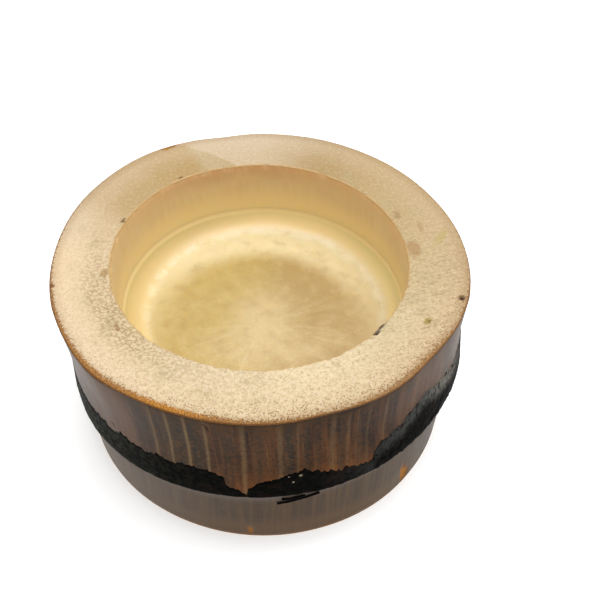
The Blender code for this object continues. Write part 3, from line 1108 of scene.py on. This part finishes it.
def crustFinish():
    finish, board = shaderBoard("deadSheath")
    turn, above, _ = placeWires(board)
    spot = inMillimetres(board)
    grain = board.noise(spot, 1.1, 5, 0.7)
    patches = board.noise(spot.stretched(1, 1, 1.6), 0.35, 3, 0.6)
    fromTop = attribute(board, "fromTop")
    # grey rough layer near the crust's top edge at the right, partly its own colour and partly a painted
    # sheen
    ashAndSheen = turnBell(turn, -40, 20) * (fromTop + (grain - 0.5) * 5).step(5.4, 2.2)
    # painted reflection on the crust's left edges
    leftSheen = (turnBell(turn, 170, 40) * 0.35 + turnBell(turn, -160, 34) * 0.5) * grain.step(0.4, 0.7)
    colour = board.coats(
        crust["black"],
        (grain.step(0.35, 0.7), crust["green"]),
        (patches.step(0.48, 0.66) * 0.4, crust["brown"]),
        (ashAndSheen * grain.step(0.3, 0.6) * 0.9, board.mix(turn.step(-48, -24), crust["darkAshAndSheen"], crust["paleDustAndSheen"])),
        (leftSheen, crust["leftSheen"]),
    )
    # painted glints on the crust
    for at, up, wide, tall in crust["glints"]:
        glint = turnBell(turn, at, wide) * bell(above, up, tall)
        colour = board.mix((glint + (grain - 0.5) * 1.2).step(0.35, 0.8) * 0.8, colour, crust["glint"])
    roughness = ashAndSheen * 0.3 + grain * 0.25 + 0.38
    finishWith(board, colour, roughness, 0.008, (grain + patches * 0.5, 0.45, 0.3 * mm))
    return finish


def crustColumns(name, tops):
    # a chain of points (turn, top above the node), four to a degree
    steps = round((tops[-1][0] - tops[0][0]) * 4)
    points = []
    for i in range(steps + 1):
        turn = tops[0][0] + (tops[-1][0] - tops[0][0]) * i / steps
        after = next(k for k, (at, _) in enumerate(tops) if at >= turn - 1e-6)
        (a, low), (b, high) = tops[max(after - 1, 0)], tops[after]
        share = (turn - a) / (b - a) if b > a else 0.0
        points.append((turn, low + (high - low) * share, min(1.0, min(i, steps - i) / 3)))
    mesh = bpy.data.meshes.new(name)
    mesh.from_pydata(points, [(i, i + 1) for i in range(steps)], [])
    return mesh, steps + 1


def crustTree(outerRows, finish):
    board, size = sizeTree("crustTree", ["Columns", "Thickness", "Roughness"])
    mesh, across, along = board.grid(outerRows * 2 + 1, size["Columns"])
    row = across * 2 - 1  # -1 at the top outside, 0 at the foot, 1 at the top inside
    column = along * (size["Columns"] - 1)
    here = board.put("GeometryNodeInputPosition")
    turn, top, body = board.sample("FLOAT_VECTOR", size["Geometry"], here, column + 0.5).parts()
    down = (1 - row.calc("ABSOLUTE")).calc("POWER", 1.5)  # closer rows at the top edge
    foot = (crust["foot"] - culm["nodeHeight"]) / mm
    ring = board.ring(turn)
    tear = board.noise(ring.stretched(60, 60, 0), 1.0, 3, 0.6) - 0.5
    notch = board.noise(ring.stretched(30, 30, 0), 1.0, 1) - 0.5
    top = top + (tear * 1.6 + notch * 1.7) * body * top.step(0.2, 2.0)
    sag = board.noise(ring.stretched(14, 14, 0), 1.0, 2) - 0.5
    hang = turnBell(turn, -72, 22) * crust["overhang"]
    low = sag * 0.7 * body + foot - hang
    above = top + (low - top) * down
    place = board.ring(turn, above)
    lumps = board.noise(place.stretched(34, 34, 0.7), 1.0, 4, 0.62) - 0.42
    coarse = board.noise(place.stretched(14, 14, 0.3), 1.0, 2) - 0.5
    rough = turnBell(turn, -55, 34) * 0.8 + 0.35
    edge = (top - above).step(-0.02, 0.4) * (above - low).step(-0.02, 0.35)
    thick = (lumps * rough * size["Roughness"] * 2 + coarse * 0.12 + size["Thickness"]) * edge * body
    # the inner side joins the outer one along the top edge and at both ends
    joined = row.calc("GREATER_THAN", 0.999) + body.calc("LESS_THAN", 0.01)
    outside = clamped(row.calc("LESS_THAN", 0.0001) + joined)
    stand = (thick.calc("MAXIMUM", 0.0) + 0.02) * outside - (1 - outside) * crust["inward"]
    stand = stand + skinRelief(board, turn, above)
    radius = skinRadius((above + hang) * mm + culm["nodeHeight"]) + stand * mm
    mesh = board.store(mesh, "fromTop", top - above)
    mesh = board.store(mesh, "place", place, "FLOAT_VECTOR")
    mesh = board.placed(mesh, board.join(*grown(radius, turn, above * mm + culm["nodeHeight"])))
    board.finished(mesh, [finish])
    return board


def makeCrusts():
    board = crustTree(28, crustFinish())
    for side in ("left", "right"):
        mesh, columns = crustColumns(side + "Columns", crust[side])
        sizes = {"Thickness": crust["thickness"], "Roughness": crust["roughness"], "Columns": float(columns)}
        piece = fromTree("sheath_remains_" + side, board, sizes, mesh)
        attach(piece, "root")
        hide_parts("sheath_crust_" + side)


makeCrusts()
print("sheath crusts laid")


# Fibres left hanging below the node

fibres = {
    "radius": 0.19,
    "wander": 1.2,
    "standOff": 0.22 * mm,
    "steps": 48,
    "black": paint(4, 4, 3),
    "brown": paint(20, 14, 10),
    # name, start turn, end turn, mm below the node at the start and at the end, sag in mm
    "strands": (("upper", -86.8, -80.5, 3.2, 3.0, 0.1), ("lower", -88.0, -76.5, 4.15, 3.2, 0.0)),
}


def fibreTree(finish):
    # sweeps a ring along the path, shaken up and down, thick and thin, and tapered to its ends
    board, size = sizeTree("fibreTree", ["Radius", "Wander"])
    curve = board.put("GeometryNodeMeshToCurve", {}, {"Mesh": size["Geometry"]})
    here = board.put("GeometryNodeInputPosition")
    shake = board.put("ShaderNodeTexNoise", {}, {"Vector": here, "Scale": 260.0, "Detail": 2.0}, "Color")
    east, _, up = shake.parts()
    offset = board.join(0.0, 0.0, (up - 0.5) * size["Wander"] * mm)
    curve = board.put("GeometryNodeSetPosition", {}, {"Geometry": curve, "Offset": offset})
    along = board.put("GeometryNodeSplineParameter")
    taper = (along * (1 - along) * 4).calc("POWER", 0.7)
    thick = (taper * 0.9 + 0.1) * (east * 1.2 + 0.5)
    curve = board.put("GeometryNodeSetCurveRadius", {}, {"Curve": curve, "Radius": thick})
    circle = {"Resolution": 8, "Radius": size["Radius"] * mm}
    ring = board.put("GeometryNodeCurvePrimitiveCircle", {}, circle)
    swept = {"Curve": curve, "Profile Curve": ring, "Fill Caps": True}
    board.finished(board.put("GeometryNodeCurveToMesh", {}, swept), [finish])
    return board


def fibreFinish():
    finish, board = shaderBoard("sheathFibre")
    grain = board.noise(inMillimetres(board), 2.0, 3)
    colour = board.mix(grain.step(0.4, 0.7), fibres["black"], fibres["brown"])
    finishWith(board, colour, 0.7, 0.06)
    return finish


def makeFibres():
    board = fibreTree(fibreFinish())
    sizes = {"Radius": fibres["radius"], "Wander": fibres["wander"]}
    steps = fibres["steps"]
    for name, start, end, first, last, sag in fibres["strands"]:
        points = []
        for i in range(steps + 1):
            share = i / steps
            below = first + (last - first) * share + sag * math.sin(share * math.pi)
            height = culm["nodeHeight"] - below * mm
            radius = skinRadius(height) + fibres["standOff"]
            points.append(grown(radius, start + (end - start) * share, height))
        mesh = bpy.data.meshes.new(name + "Path")
        mesh.from_pydata(points, [(i, i + 1) for i in range(steps)], [])
        piece = fromTree("hanging_fibre_" + name, board, sizes, mesh)
        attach(piece, "root")
        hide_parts("sheath_fibre_" + name)


makeFibres()
print("fibres hung")
